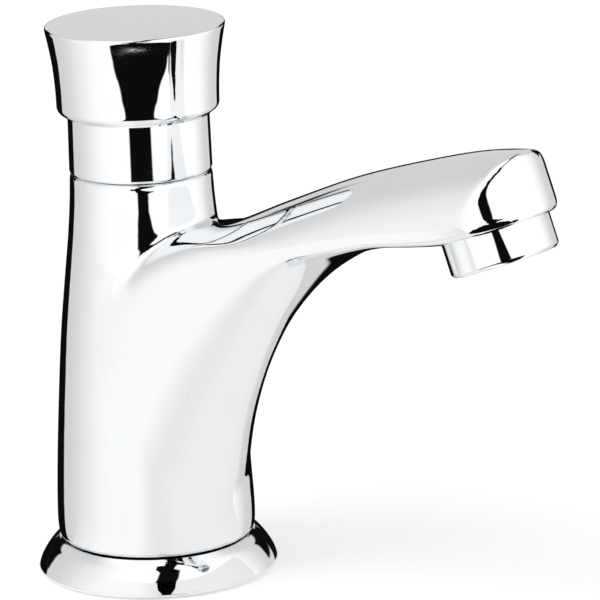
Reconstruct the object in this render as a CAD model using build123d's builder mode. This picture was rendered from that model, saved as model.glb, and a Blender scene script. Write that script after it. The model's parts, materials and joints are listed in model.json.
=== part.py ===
from build123d import *
import os
from math import cos, hypot, pi, radians, sin, sqrt

os.makedirs("parts", exist_ok=True)

# Driving dimensions in millimetres, angles in degrees.
# The top of the deck is z = 0, the column stands on the Z axis and the spout points along +X.
column_radius = 22.5
foot_height = 7.85
neck_height = 92.8
spout_reach = 95.7
mouth_height = 90.4
mouth_tilt = 20.0
spout_half_width = 14.3
head_radius = 14.6
head_set_back = 0.3
press_travel = 6.0
deck_gap = 15.0

# Clearances shared by the pieces.
running_clearance = 0.05
thread_clearance = 0.07
loose_clearance = 0.1
overrun = 2.0

# Outside of the casting.
# Column shares: height between foot and neck, then radius.
column_shares = (
    (0.0, 0.985), (0.04, 1.0), (0.12, 0.994), (0.25, 0.968), (0.41, 0.925),
    (0.57, 0.874), (0.72, 0.808), (0.83, 0.757), (0.93, 0.723), (1.0, 0.713),
)
# Spout section shares, from the column out to the mouth: under x, under z, top x, top z, widest.
# An x share runs from the column's face to the mouth, a z share from the deck to the mouth,
# and the widest share is how far from the under point the section is widest.
section_shares = (
    (-0.030, 0.133, -0.540, 0.133, 0.54), (0.005, 0.254, -0.533, 0.249, 0.58),
    (0.042, 0.376, -0.519, 0.365, 0.62), (0.090, 0.483, -0.499, 0.481, 0.66),
    (0.152, 0.591, -0.471, 0.603, 0.69), (0.235, 0.699, -0.410, 0.730, 0.69),
    (0.352, 0.803, -0.280, 0.835, 0.61), (0.478, 0.876, -0.130, 0.896, 0.50),
    (0.601, 0.920, 0.041, 0.925, 0.40), (0.710, 0.945, 0.266, 1.002, 0.32),
    (0.813, 0.956, 0.512, 1.082, 0.26), (0.922, 0.971, 0.758, 1.143, 0.22),
    (1.031, 1.000, 0.963, 1.184, 0.20), (1.168, 1.042, 1.127, 1.199, 0.20),
    (1.305, 1.084, 1.277, 1.204, 0.20),
)
section_points = 20
blend_length_share = 0.63
flat_start_share = 0.1
flat_length_share = 0.55
flatness_share = 0.35
arch_share = 0.97
flank_inset = 0.08
flank_spread = 14.0
head_edge_radius = 1.6
rim_edge_radius = 1.6

# Foot ring, its gasket and the body's spigot inside them.
flange_reach = 4.85
flange_edge_radius = 0.8
flange_rim_width = 1.95
flange_step = 0.2
gasket_thickness = 1.6
gasket_inset = 1.1
flange_lift = 0.4
spigot_step = 3.0
spigot_lift = 0.8
# Shares of the flange's outer profile: radius from its top edge to its rim, then height.
flange_shares = ((0.0, 1.0), (0.34, 0.82), (0.65, 0.55), (0.87, 0.30), (0.98, 0.10))

# Shank and what clamps the tap to the deck.
shank_radius = 10.48
shank_bore_radius = 7.0
shank_drop = 52.0
shank_chamfer = 1.2
socket_depth = 17.6
shank_end_gap = 0.5
shank_ring_radius = 0.9
shank_ring_depth = 3.0
washer_radius = 19.0
washer_clearance = 0.7
rubber_washer_thickness = 3.0
steel_washer_thickness = 1.5
backnut_flats = 30.0
backnut_height = 8.0
backnut_chamfer = 1.2

# Strainer in the shank's mouth.
strainer_radius = 6.3
strainer_wall = 0.5
strainer_length = 14.0
strainer_rim_thickness = 1.0
strainer_rim_depth = 1.1
strainer_rim_radius = 7.9
strainer_hole_radius = 0.8
strainer_rows = 4
strainer_holes = 9
strainer_end_holes = 4

# Cartridge, measured down from the neck that it is screwed into.
head_depth = 10.8
sleeve_radius = 12.0
sleeve_wall = 1.8
sleeve_height = 26.0
chamber_gap = 0.5
seat_height = 6.0
seat_bore_radius = 5.0
seat_lip_width = 1.2
seat_lip_height = 0.8
seat_ring_radius = 0.95
gallery_radius = 14.0
gallery_height = 9.0
gallery_lift = 1.0
port_radius = 2.2
port_lift = 4.5
port_count = 6
head_thread_radius = 13.15
head_ring_radius = 0.95
head_ring_lift = 1.2
collar_thread_radius = 12.4
collar_thread_height = 6.8
throat_radius = 4.3
throat_height = 2.8
guide_bore_radius = 6.0
guide_height = 11.0
guide_ring_radius = 0.9
circlip_thickness = 0.8
circlip_depth = 0.6
circlip_opening = 7.0

# Moving parts on the stem.
stem_radius = 4.0
stem_waist_radius = 3.0
stem_tail_radius = 2.5
stem_collar_radius = 3.4
stem_collar_height = 1.8
piston_height = 8.0
piston_gap = 0.3
spring_length = 16.0
spring_wire_radius = 0.6
spring_radius = 6.3
spring_turns = 4.5
lip_height = 3.0
lip_depth = 2.2
clip_thickness = 0.8
clip_radius = 4.6
clip_depth = 0.5
jet_radius = 0.9
jet_head_radius = 1.6
jet_head_height = 1.0
jet_bore_radius = 0.3
washer_lip_radius = 6.6
valve_washer_thickness = 2.4
valve_disc_thickness = 2.0
valve_disc_radius = 7.4
valve_nut_flats = 8.0
valve_nut_height = 2.8
stem_end_length = 1.0
seat_contact_gap = 0.03
valve_chamber_radius = 9.0
valve_chamber_gap = 1.2

# Collar and button.
collar_radius = 16.05
collar_top_radius = 15.8
collar_height = 17.2
collar_edge_radius = 0.9
collar_seal_inner_radius = 13.7
collar_seal_outer_radius = 15.0
collar_seal_thickness = 0.8
button_lift = 13.0
button_height = 20.2
button_foot_radius = 18.2
button_top_radius = 20.15
button_edge_radius = 1.6
button_top_edge_radius = 0.5
skirt_gap = 0.45
button_top_thickness = 2.4
core_disc_thickness = 6.5
core_hub_radius = 8.5
core_floor_thickness = 3.0
core_stop_gap = 0.3
# Shares of the button's outer profile: height, then radius from foot to top.
button_shares = ((0.10, 0.0), (0.30, 0.06), (0.55, 0.26), (0.78, 0.62), (0.965, 0.99))
screw_radius = 1.95
screw_length = 13.0
screw_head_radius = 3.8
screw_head_height = 2.6
screw_key_flats = 2.5
screw_key_depth = 1.6

# Aerator, measured along the mouth's axis from the mouth's face.
aerator_radius = 12.0
aerator_engagement = 8.0
aerator_length = 7.4
aerator_bevel = 0.8
aerator_wall = 1.4
aerator_lip_height = 1.0
aerator_lip_width = 1.2
aerator_gasket_thickness = 1.0
aerator_gasket_width = 2.4
outlet_well_radius = 9.3
outlet_well_depth = 3.5
insert_height = 6.4
insert_wall = 1.1
insert_plate_thickness = 2.2
jet_hole_radius = 0.72
jet_hole_spacing = 1.85
jet_hole_rings = 5
screen_thickness = 0.4
screen_gap = 0.6
screen_hole_radius = 0.55
screen_hole_spacing = 1.5
screen_count = 2
regulator_height = 3.2
regulator_hub_radius = 2.6
regulator_slot_radius = 1.1
regulator_slot_count = 8
channel_radius = 4.5
channel_bend_radius = 24.0
# Shares of the water channel's route: x of the reach, z of the mouth's height.
channel_shares = ((0.09, 0.68), (0.36, 0.80), (0.66, 1.0), (0.93, 1.085))

# Heights worked out from the values above.
spigot_foot = gasket_thickness + spigot_lift
socket_top = spigot_foot + socket_depth
shank_top = socket_top - shank_end_gap
sleeve_top = neck_height - head_depth
seat_top = sleeve_top - sleeve_height
shoulder_height = seat_top - seat_height
head_top = neck_height + collar_thread_height
piston_foot = seat_top + spring_length
piston_top = piston_foot + piston_height
valve_top = shoulder_height - seat_lip_height - seat_contact_gap
valve_disc_top = valve_top - valve_washer_thickness
valve_nut_top = valve_disc_top - valve_disc_thickness
stem_foot = valve_nut_top - valve_nut_height - stem_end_length
valve_chamber_foot = stem_foot - press_travel - valve_chamber_gap
collar_top = neck_height + collar_height
button_foot = neck_height + button_lift
button_top = button_foot + button_height
button_ceiling = button_top - button_top_thickness
core_foot = head_top + press_travel + core_stop_gap
core_disc_foot = button_ceiling - loose_clearance - core_disc_thickness
core_floor = core_disc_foot - core_floor_thickness
flange_radius = column_radius + flange_reach
flange_top_radius = column_radius - flange_step
spigot_radius = column_radius - spigot_step
gasket_inner_radius = spigot_radius + gasket_inset
gasket_outer_radius = flange_radius - flange_rim_width
chamber_radius = sleeve_radius + chamber_gap
sleeve_bore_radius = sleeve_radius - sleeve_wall
neck_bore_radius = head_thread_radius + running_clearance
mouth_bore_radius = aerator_radius + running_clearance
skirt_radius = collar_radius + skirt_gap

# Planes square to the mouth's axis. Their z axis points up into the spout.
tilt = radians(mouth_tilt)
mouth = Plane(
    origin=(spout_reach, 0, mouth_height),
    x_dir=(cos(tilt), 0, sin(tilt)),
    z_dir=(-sin(tilt), 0, cos(tilt)),
)


def column_radius_at(z):
    """The column's radius at a height, between the points of its profile."""
    share = min(max((z - foot_height) / (neck_height - foot_height), 0), 1)
    for (low, low_radius), (high, high_radius) in zip(column_shares, column_shares[1:]):
        if share <= high:
            part = (share - low) / (high - low)
            return column_radius * (low_radius + (high_radius - low_radius) * part)


def half_width_at(x, z):
    """Half the width of web and spout: the column's at its axis, easing to the spout's."""
    part = 1 - min(max(x, 0) / (blend_length_share * (spout_reach - column_radius)), 1)
    eased = part * part * (3 - 2 * part)
    return spout_half_width + (column_radius_at(z) - flank_inset - spout_half_width) * eased


def place(x_share, z_share):
    """A point in the plane of symmetry from its shares."""
    return column_radius + x_share * (spout_reach - column_radius), z_share * mouth_height


def section_plane(shares):
    """The plane of one section: its x axis runs from the under point to the top point."""
    under_x, under_z = place(shares[0], shares[1])
    top_x, top_z = place(shares[2], shares[3])
    across = (top_x - under_x, 0, top_z - under_z)
    return Plane(origin=(under_x, 0, under_z), x_dir=across, z_dir=(-across[2], 0, across[0]))


def section_outline(shares):
    """The closed curve of one section in its plane: flat underneath, arched on top."""
    under_x, under_z = place(shares[0], shares[1])
    top_x, top_z = place(shares[2], shares[3])
    depth = hypot(top_x - under_x, top_z - under_z)
    widest = shares[4] * depth
    flat = min(max((shares[0] - flat_start_share) / flat_length_share, 0), 1)
    points = []
    for index in range(section_points):
        turn = 2 * pi * index / section_points
        along, across = cos(turn), sin(turn)
        power = 1 - flatness_share * flat if along > 0 else arch_share
        reach = abs(along) ** power
        distance = widest * (1 - reach) if along > 0 else widest + (depth - widest) * reach
        x = under_x + (top_x - under_x) * distance / depth
        z = under_z + (top_z - under_z) * distance / depth
        side = abs(across) ** power
        points.append((distance, half_width_at(x, z) * (side if across >= 0 else -side)))
    steps = [index / section_points for index in range(section_points + 1)]
    return Edge.make_spline(points, periodic=True, parameters=steps)


def ring_of(centre, thickness, height):
    """A round sealing ring about Z."""
    with BuildPart() as ring:
        with BuildSketch(Plane.XZ):
            with Locations((centre, height)):
                Circle(thickness)
        revolve(axis=Axis.Z)
    return ring


# Seen along the mouth's axis the head is round in front and opens out towards the column.
# Behind the head the space below the mouth's face stays open to the web.
back_reach = spout_reach + column_radius
with BuildPart() as head_shape:
    with BuildSketch(mouth):
        with BuildLine():
            front = CenterArc((-head_set_back, 0), head_radius, -90, 180)
            far_side = Line(front @ 1, (-back_reach, head_radius + flank_spread))
            back = Line(far_side @ 1, (-back_reach, -head_radius - flank_spread))
            Line(back @ 1, front @ 0)
        make_face()
    extrude(amount=spout_reach)
    fillet(
        head_shape.edges().group_by(Axis((0, 0, 0), mouth.z_dir))[0],
        radius=rim_edge_radius,
    )
    with BuildSketch(mouth.offset(-spout_reach)):
        with Locations((-back_reach, 0)):
            Rectangle(2 * (back_reach - head_radius + rim_edge_radius), 2 * back_reach)
    extrude(amount=2 * spout_reach)

# The casting: column, web, spout and head in one piece.
with BuildPart() as tap_body:
    for shares in section_shares:
        with BuildSketch(section_plane(shares)):
            with BuildLine():
                add(section_outline(shares))
            make_face()
    loft()
    add(head_shape.part, mode=Mode.INTERSECT)
    fillet(tap_body.edges().sort_by(Axis.Z)[-1], radius=head_edge_radius)
    with BuildSketch(Plane.XZ):
        with BuildLine():
            side = Spline(
                *[
                    (radius * column_radius, foot_height + height * (neck_height - foot_height))
                    for height, radius in column_shares
                ]
            )
            Polyline(side @ 1, (0, neck_height), (0, foot_height), side @ 0)
        make_face()
    revolve(axis=Axis.Z)
    # Spigot inside the foot ring.
    with BuildSketch(Plane.XY.offset(spigot_foot)):
        Circle(spigot_radius)
    extrude(amount=foot_height - spigot_foot)
    # Socket for the shank, supply way, valve chamber, cartridge chamber, gallery and neck.
    for foot, top, radius in (
        (spigot_foot, socket_top, shank_radius + thread_clearance),
        (socket_top, valve_chamber_foot, shank_bore_radius),
        (valve_chamber_foot, shoulder_height, valve_chamber_radius),
        (shoulder_height, sleeve_top, chamber_radius),
        (seat_top + gallery_lift, seat_top + gallery_lift + gallery_height, gallery_radius),
        (sleeve_top, neck_height, neck_bore_radius),
    ):
        with BuildSketch(Plane.XY.offset(foot)):
            Circle(radius)
        extrude(amount=top - foot, mode=Mode.SUBTRACT)
    # Mouth and the well behind the aerator.
    aerator_seat = aerator_engagement + aerator_gasket_thickness
    with BuildSketch(mouth):
        Circle(mouth_bore_radius)
    extrude(amount=aerator_seat, mode=Mode.SUBTRACT)
    with BuildSketch(mouth.offset(aerator_seat)):
        Circle(outlet_well_radius)
    extrude(amount=outlet_well_depth, mode=Mode.SUBTRACT)
    # The water channel from the gallery to the well.
    with BuildLine(Plane.XZ) as channel_route:
        FilletPolyline(
            *[(x * spout_reach, z * mouth_height) for x, z in channel_shares],
            radius=channel_bend_radius,
        )
    with BuildSketch(Plane(origin=channel_route.line @ 0, z_dir=channel_route.line % 0)):
        Circle(channel_radius)
    sweep(path=channel_route.line, mode=Mode.SUBTRACT)
tap_body.part.label = "tap_body"
export_step(tap_body.part, "parts/tap_body.step")

# Foot ring under the column, hollowed underneath for its gasket.
with BuildPart() as base_flange:
    with BuildSketch(Plane.XZ):
        with BuildLine():
            flare = Spline(
                *[
                    (
                        flange_top_radius + radius * (flange_radius - flange_top_radius),
                        flange_lift + height * (foot_height - flange_lift),
                    )
                    for radius, height in flange_shares
                ]
            )
            lip = RadiusArc(
                flare @ 1, (flange_radius - flange_edge_radius, flange_lift), flange_edge_radius
            )
            Polyline(
                lip @ 1,
                (spigot_radius + loose_clearance, flange_lift),
                (spigot_radius + loose_clearance, foot_height),
                flare @ 0,
            )
        make_face()
    revolve(axis=Axis.Z)
    with BuildSketch(Plane.XY.offset(flange_lift)):
        Circle(gasket_outer_radius + loose_clearance)
        Circle(gasket_inner_radius - loose_clearance, mode=Mode.SUBTRACT)
    extrude(amount=gasket_thickness - flange_lift, mode=Mode.SUBTRACT)
base_flange.part.label = "base_flange"
export_step(base_flange.part, "parts/base_flange.step")

with BuildPart() as base_gasket:
    with BuildSketch():
        Circle(gasket_outer_radius)
        Circle(gasket_inner_radius, mode=Mode.SUBTRACT)
    extrude(amount=gasket_thickness)
base_gasket.part.label = "base_gasket"
export_step(base_gasket.part, "parts/base_gasket.step")

# Threaded shank, with a groove for its ring and a seat for the strainer's rim.
shank_ring_height = shank_top - shank_ring_depth
shank_ring_centre = shank_radius + thread_clearance - shank_ring_radius - running_clearance
with BuildPart() as threaded_shank:
    with BuildSketch(Plane.XY.offset(-shank_drop)):
        Circle(shank_radius)
    extrude(amount=shank_drop + shank_top)
    chamfer(threaded_shank.edges().group_by(Axis.Z)[0], length=shank_chamfer)
    with BuildSketch(Plane.XY.offset(-shank_drop)):
        Circle(shank_bore_radius)
    extrude(amount=shank_drop + shank_top, mode=Mode.SUBTRACT)
    with BuildSketch(Plane.XY.offset(-shank_drop)):
        Circle(strainer_rim_radius + loose_clearance)
    extrude(amount=strainer_rim_depth, mode=Mode.SUBTRACT)
    with BuildSketch(Plane.XZ):
        with Locations((shank_radius, shank_ring_height)):
            Rectangle(
                2 * (shank_radius - shank_ring_centre + shank_ring_radius + running_clearance),
                2 * (shank_ring_radius + loose_clearance),
            )
    revolve(axis=Axis.Z, mode=Mode.SUBTRACT)
threaded_shank.part.label = "threaded_shank"
export_step(threaded_shank.part, "parts/threaded_shank.step")

shank_o_ring = ring_of(shank_ring_centre, shank_ring_radius, shank_ring_height)
shank_o_ring.part.label = "shank_o_ring"
export_step(shank_o_ring.part, "parts/shank_o_ring.step")

# Strainer: a perforated thimble whose rim sits in the shank's mouth.
strainer_pitch = (strainer_length - strainer_rim_thickness) / (strainer_rows + 1)
with BuildPart() as inlet_strainer:
    with BuildSketch(Plane.XY.offset(-shank_drop)):
        Circle(strainer_radius)
    extrude(amount=strainer_length)
    with BuildSketch(Plane.XY.offset(-shank_drop)):
        Circle(strainer_rim_radius)
    extrude(amount=strainer_rim_thickness)
    with BuildSketch(Plane.XY.offset(-shank_drop)):
        Circle(strainer_radius - strainer_wall)
    extrude(amount=strainer_length - strainer_wall, mode=Mode.SUBTRACT)
    for row in range(strainer_rows):
        row_height = strainer_rim_thickness + (row + 1) * strainer_pitch - shank_drop
        for place_in_row in range(strainer_holes):
            turn = 360 * (place_in_row + row % 2 / 2) / strainer_holes
            outward = (cos(radians(turn)), sin(radians(turn)), 0)
            with BuildSketch(Plane(origin=(0, 0, row_height), z_dir=outward)):
                Circle(strainer_hole_radius)
            extrude(amount=strainer_radius + strainer_wall, mode=Mode.SUBTRACT)
    with BuildSketch(Plane.XY.offset(strainer_length - shank_drop)):
        with HexLocations(
            strainer_hole_radius + strainer_wall, strainer_end_holes, strainer_end_holes
        ):
            Circle(strainer_hole_radius)
    extrude(amount=-2 * strainer_wall, mode=Mode.SUBTRACT)
inlet_strainer.part.label = "inlet_strainer"
export_step(inlet_strainer.part, "parts/inlet_strainer.step")

# Washers and nut below the deck.
rubber_washer_foot = -deck_gap - rubber_washer_thickness
steel_washer_foot = rubber_washer_foot - steel_washer_thickness
backnut_foot = steel_washer_foot - backnut_height
with BuildPart() as deck_rubber_washer:
    with BuildSketch(Plane.XY.offset(rubber_washer_foot)):
        Circle(washer_radius)
        Circle(shank_radius + washer_clearance, mode=Mode.SUBTRACT)
    extrude(amount=rubber_washer_thickness)
deck_rubber_washer.part.label = "deck_rubber_washer"
export_step(deck_rubber_washer.part, "parts/deck_rubber_washer.step")

with BuildPart() as deck_steel_washer:
    with BuildSketch(Plane.XY.offset(steel_washer_foot)):
        Circle(washer_radius)
        Circle(shank_radius + washer_clearance, mode=Mode.SUBTRACT)
    extrude(amount=steel_washer_thickness)
deck_steel_washer.part.label = "deck_steel_washer"
export_step(deck_steel_washer.part, "parts/deck_steel_washer.step")

with BuildPart() as backnut:
    with BuildSketch(Plane.XY.offset(backnut_foot)):
        Circle(backnut_flats / sqrt(3))
    extrude(amount=backnut_height)
    chamfer(backnut.edges().filter_by(GeomType.CIRCLE), length=backnut_chamfer)
    with BuildSketch(Plane.XY.offset(backnut_foot)):
        RegularPolygon(backnut_flats / 2, 6, major_radius=False)
    extrude(amount=backnut_height, mode=Mode.INTERSECT)
    with BuildSketch(Plane.XY.offset(backnut_foot)):
        Circle(shank_radius + thread_clearance)
    extrude(amount=backnut_height, mode=Mode.SUBTRACT)
backnut.part.label = "backnut"
export_step(backnut.part, "parts/backnut.step")

# Valve seat on the shoulder, with a lip below and a groove for its ring outside.
seat_radius = chamber_radius - loose_clearance
seat_ring_height = shoulder_height + seat_height / 2
seat_ring_centre = chamber_radius - running_clearance - seat_ring_radius
with BuildPart() as valve_seat:
    with BuildSketch(Plane.XY.offset(shoulder_height)):
        Circle(seat_radius)
    extrude(amount=seat_height)
    with BuildSketch(Plane.XY.offset(shoulder_height)):
        Circle(seat_bore_radius + seat_lip_width)
    extrude(amount=-seat_lip_height)
    with BuildSketch(Plane.XY.offset(seat_top)):
        Circle(seat_bore_radius)
    extrude(amount=-seat_height - seat_lip_height, mode=Mode.SUBTRACT)
    with BuildSketch(Plane.XZ):
        with Locations((seat_radius, seat_ring_height)):
            Rectangle(
                2 * (seat_radius - seat_ring_centre + seat_ring_radius + running_clearance),
                2 * (seat_ring_radius + loose_clearance),
            )
    revolve(axis=Axis.Z, mode=Mode.SUBTRACT)
valve_seat.part.label = "valve_seat"
export_step(valve_seat.part, "parts/valve_seat.step")

seat_o_ring = ring_of(seat_ring_centre, seat_ring_radius, seat_ring_height)
seat_o_ring.part.label = "seat_o_ring"
export_step(seat_o_ring.part, "parts/seat_o_ring.step")

with BuildPart() as cartridge_sleeve:
    with BuildSketch(Plane.XY.offset(seat_top)):
        Circle(sleeve_radius)
        Circle(sleeve_bore_radius, mode=Mode.SUBTRACT)
    extrude(amount=sleeve_height)
    for port in range(port_count):
        turn = radians(360 * port / port_count)
        port_plane = Plane(
            origin=(0, 0, seat_top + port_lift), z_dir=(cos(turn), sin(turn), 0)
        )
        with BuildSketch(port_plane):
            Circle(port_radius)
        extrude(amount=sleeve_radius + overrun, mode=Mode.SUBTRACT)
cartridge_sleeve.part.label = "cartridge_sleeve"
export_step(cartridge_sleeve.part, "parts/cartridge_sleeve.step")

# Cartridge head: screwed into the neck, it guides the stem and carries the collar.
throat_top = sleeve_top + throat_height
guide_ring_height = throat_top + guide_ring_radius + running_clearance
guide_ring_centre = (stem_radius + guide_bore_radius) / 2
bush_foot = guide_ring_height + guide_ring_radius + running_clearance
bush_top = bush_foot + guide_height
circlip_foot = bush_top + loose_clearance
head_ring_height = sleeve_top + head_ring_lift + head_ring_radius
head_ring_centre = neck_bore_radius - running_clearance - head_ring_radius
with BuildPart() as cartridge_head:
    with BuildSketch(Plane.XY.offset(sleeve_top)):
        Circle(head_thread_radius)
    extrude(amount=neck_height - sleeve_top)
    with BuildSketch(Plane.XY.offset(neck_height)):
        Circle(collar_thread_radius)
    extrude(amount=collar_thread_height)
    chamfer(cartridge_head.edges().group_by(Axis.Z)[-1], length=circlip_thickness)
    with BuildSketch(Plane.XY.offset(sleeve_top)):
        Circle(throat_radius)
    extrude(amount=throat_height, mode=Mode.SUBTRACT)
    with BuildSketch(Plane.XY.offset(throat_top)):
        Circle(guide_bore_radius)
    extrude(amount=head_top - throat_top, mode=Mode.SUBTRACT)
    with BuildSketch(Plane.XY.offset(circlip_foot - loose_clearance)):
        Circle(guide_bore_radius + circlip_depth)
    extrude(amount=circlip_thickness + 2 * loose_clearance, mode=Mode.SUBTRACT)
    with BuildSketch(Plane.XZ):
        with Locations((head_thread_radius, head_ring_height)):
            Rectangle(
                2 * (head_thread_radius - head_ring_centre + head_ring_radius + running_clearance),
                2 * (head_ring_radius + loose_clearance),
            )
    revolve(axis=Axis.Z, mode=Mode.SUBTRACT)
cartridge_head.part.label = "cartridge_head"
export_step(cartridge_head.part, "parts/cartridge_head.step")

head_o_ring = ring_of(head_ring_centre, head_ring_radius, head_ring_height)
head_o_ring.part.label = "head_o_ring"
export_step(head_o_ring.part, "parts/head_o_ring.step")

stem_o_ring = ring_of(guide_ring_centre, guide_ring_radius, guide_ring_height)
stem_o_ring.part.label = "stem_o_ring"
export_step(stem_o_ring.part, "parts/stem_o_ring.step")

with BuildPart() as stem_guide_bush:
    with BuildSketch(Plane.XY.offset(bush_foot)):
        Circle(guide_bore_radius - running_clearance)
        Circle(stem_radius + running_clearance, mode=Mode.SUBTRACT)
    extrude(amount=guide_height)
stem_guide_bush.part.label = "stem_guide_bush"
export_step(stem_guide_bush.part, "parts/stem_guide_bush.step")

# Circlip over the bush, open on one side.
with BuildPart() as guide_circlip:
    with BuildSketch(Plane.XY.offset(circlip_foot)):
        Circle(guide_bore_radius + circlip_depth - running_clearance)
        Circle(guide_ring_centre, mode=Mode.SUBTRACT)
        with Locations((guide_bore_radius, 0)):
            Rectangle(circlip_opening / 2, circlip_opening / 2, mode=Mode.SUBTRACT)
    extrude(amount=circlip_thickness)
guide_circlip.part.label = "guide_circlip"
export_step(guide_circlip.part, "parts/guide_circlip.step")

# Stem: button end, guide length, piston waist and valve tail, turned from one bar.
with BuildPart() as stem:
    for foot, top, radius in (
        (piston_top, core_floor, stem_radius),
        (shoulder_height, piston_top, stem_waist_radius),
        (stem_foot, piston_top, stem_tail_radius),
        (valve_top, valve_top + stem_collar_height, stem_collar_radius),
    ):
        with BuildSketch(Plane.XY.offset(foot)):
            Circle(radius)
        extrude(amount=top - foot)
    clip_foot = piston_foot - running_clearance - clip_thickness
    with BuildSketch(Plane.XY.offset(clip_foot - running_clearance)):
        Circle(stem_radius)
        Circle(stem_waist_radius - clip_depth, mode=Mode.SUBTRACT)
    extrude(amount=clip_thickness + 2 * running_clearance, mode=Mode.SUBTRACT)
    with BuildSketch(Plane.XY.offset(core_floor)):
        Circle(screw_radius + running_clearance)
    extrude(amount=-screw_length, mode=Mode.SUBTRACT)
stem.part.label = "stem"
export_step(stem.part, "parts/stem.step")

# Piston, with a groove for the lip seal and a stepped hole for the timing jet.
piston_radius = sleeve_bore_radius - piston_gap
lip_foot = piston_foot + (piston_height - lip_height) / 2
jet_place = (stem_waist_radius + piston_radius - lip_depth) / 2
with BuildPart() as piston:
    with BuildSketch(Plane.XY.offset(piston_foot)):
        Circle(piston_radius)
        Circle(stem_waist_radius + running_clearance, mode=Mode.SUBTRACT)
    extrude(amount=piston_height)
    with BuildSketch(Plane.XY.offset(lip_foot)):
        Circle(piston_radius + overrun)
        Circle(piston_radius - lip_depth, mode=Mode.SUBTRACT)
    extrude(amount=lip_height, mode=Mode.SUBTRACT)
    with BuildSketch(Plane.XY.offset(piston_foot)):
        with Locations((jet_place, 0)):
            Circle(jet_radius + running_clearance)
    extrude(amount=piston_height, mode=Mode.SUBTRACT)
    with BuildSketch(Plane.XY.offset(piston_top)):
        with Locations((jet_place, 0)):
            Circle(jet_head_radius + running_clearance)
    extrude(amount=-jet_head_height, mode=Mode.SUBTRACT)
piston.part.label = "piston"
export_step(piston.part, "parts/piston.step")

with BuildPart() as timing_jet:
    with BuildSketch(Plane.XY.offset(piston_foot)):
        with Locations((jet_place, 0)):
            Circle(jet_radius)
    extrude(amount=piston_height - jet_head_height)
    with BuildSketch(Plane.XY.offset(piston_top)):
        with Locations((jet_place, 0)):
            Circle(jet_head_radius)
    extrude(amount=-jet_head_height)
    with BuildSketch(Plane.XY.offset(piston_foot)):
        with Locations((jet_place, 0)):
            Circle(jet_bore_radius)
    extrude(amount=piston_height, mode=Mode.SUBTRACT)
timing_jet.part.label = "timing_jet"
export_step(timing_jet.part, "parts/timing_jet.step")

# Lip seal: a V in section, its lip open towards the button.
lip_inner = piston_radius - lip_depth + running_clearance
lip_outer = sleeve_bore_radius - running_clearance
lip_low = lip_foot + running_clearance
lip_high = lip_foot + lip_height - running_clearance
lip_notch = (lip_inner + lip_outer) / 2
with BuildPart() as piston_lip_seal:
    with BuildSketch(Plane.XZ):
        with BuildLine():
            Polyline(
                (lip_inner, lip_low),
                (lip_notch, lip_low),
                (lip_outer, lip_high),
                (lip_notch, (lip_low + lip_high) / 2),
                (lip_inner, lip_high),
                close=True,
            )
        make_face()
    revolve(axis=Axis.Z)
piston_lip_seal.part.label = "piston_lip_seal"
export_step(piston_lip_seal.part, "parts/piston_lip_seal.step")

with BuildPart() as piston_clip:
    with BuildSketch(Plane.XY.offset(clip_foot)):
        Circle(clip_radius)
        Circle(stem_waist_radius - clip_depth + running_clearance, mode=Mode.SUBTRACT)
        with Locations((clip_radius, 0)):
            Rectangle(clip_radius, stem_waist_radius, mode=Mode.SUBTRACT)
    extrude(amount=clip_thickness)
piston_clip.part.label = "piston_clip"
export_step(piston_clip.part, "parts/piston_clip.step")

# Return spring between the seat and the piston, one unbroken wire.
spring_foot = seat_top + spring_wire_radius + running_clearance
spring_rise = spring_length - 2 * (spring_wire_radius + running_clearance)
with BuildPart() as return_spring:
    with BuildLine() as spring_line:
        Helix(
            pitch=spring_rise / spring_turns,
            height=spring_rise,
            radius=spring_radius,
            center=(0, 0, spring_foot),
        )
    with BuildSketch(Plane(origin=spring_line.line @ 0, z_dir=spring_line.line % 0)):
        Circle(spring_wire_radius)
    sweep(path=spring_line.line, is_frenet=True)
return_spring.part.label = "return_spring"
export_step(return_spring.part, "parts/return_spring.step")
print("gap between the spring's turns", spring_rise / spring_turns - 2 * spring_wire_radius)

# Valve on the stem's tail: rubber washer, backing disc and nut.
tail_hole_radius = stem_tail_radius + running_clearance
with BuildPart() as valve_washer:
    with BuildSketch(Plane.XY.offset(valve_disc_top)):
        Circle(washer_lip_radius)
        Circle(tail_hole_radius, mode=Mode.SUBTRACT)
    extrude(amount=valve_washer_thickness)
valve_washer.part.label = "valve_washer"
export_step(valve_washer.part, "parts/valve_washer.step")

with BuildPart() as valve_disc:
    with BuildSketch(Plane.XY.offset(valve_nut_top)):
        Circle(valve_disc_radius)
        Circle(tail_hole_radius, mode=Mode.SUBTRACT)
    extrude(amount=valve_disc_thickness)
valve_disc.part.label = "valve_disc"
export_step(valve_disc.part, "parts/valve_disc.step")

with BuildPart() as valve_nut:
    with BuildSketch(Plane.XY.offset(valve_nut_top)):
        RegularPolygon(valve_nut_flats / 2, 6, major_radius=False)
        Circle(tail_hole_radius, mode=Mode.SUBTRACT)
    extrude(amount=-valve_nut_height)
valve_nut.part.label = "valve_nut"
export_step(valve_nut.part, "parts/valve_nut.step")

# Collar: a plated sleeve screwed onto the cartridge head, standing on the neck.
with BuildPart() as collar:
    with BuildSketch(Plane.XZ):
        with BuildLine():
            Polyline(
                (collar_thread_radius + thread_clearance, neck_height),
                (collar_radius, neck_height),
                (collar_top_radius, collar_top),
                (collar_thread_radius + thread_clearance, collar_top),
                close=True,
            )
        make_face()
    revolve(axis=Axis.Z)
    fillet(collar.edges().group_by(Axis.Z)[0].sort_by(SortBy.RADIUS)[-1], radius=collar_edge_radius)
    fillet(collar.edges().group_by(Axis.Z)[-1].sort_by(SortBy.RADIUS)[-1], radius=collar_edge_radius)
    with BuildSketch(Plane.XY.offset(neck_height)):
        Circle(collar_seal_outer_radius + running_clearance)
        Circle(collar_seal_inner_radius - running_clearance, mode=Mode.SUBTRACT)
    extrude(amount=collar_seal_thickness, mode=Mode.SUBTRACT)
collar.part.label = "collar"
export_step(collar.part, "parts/collar.step")

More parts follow.
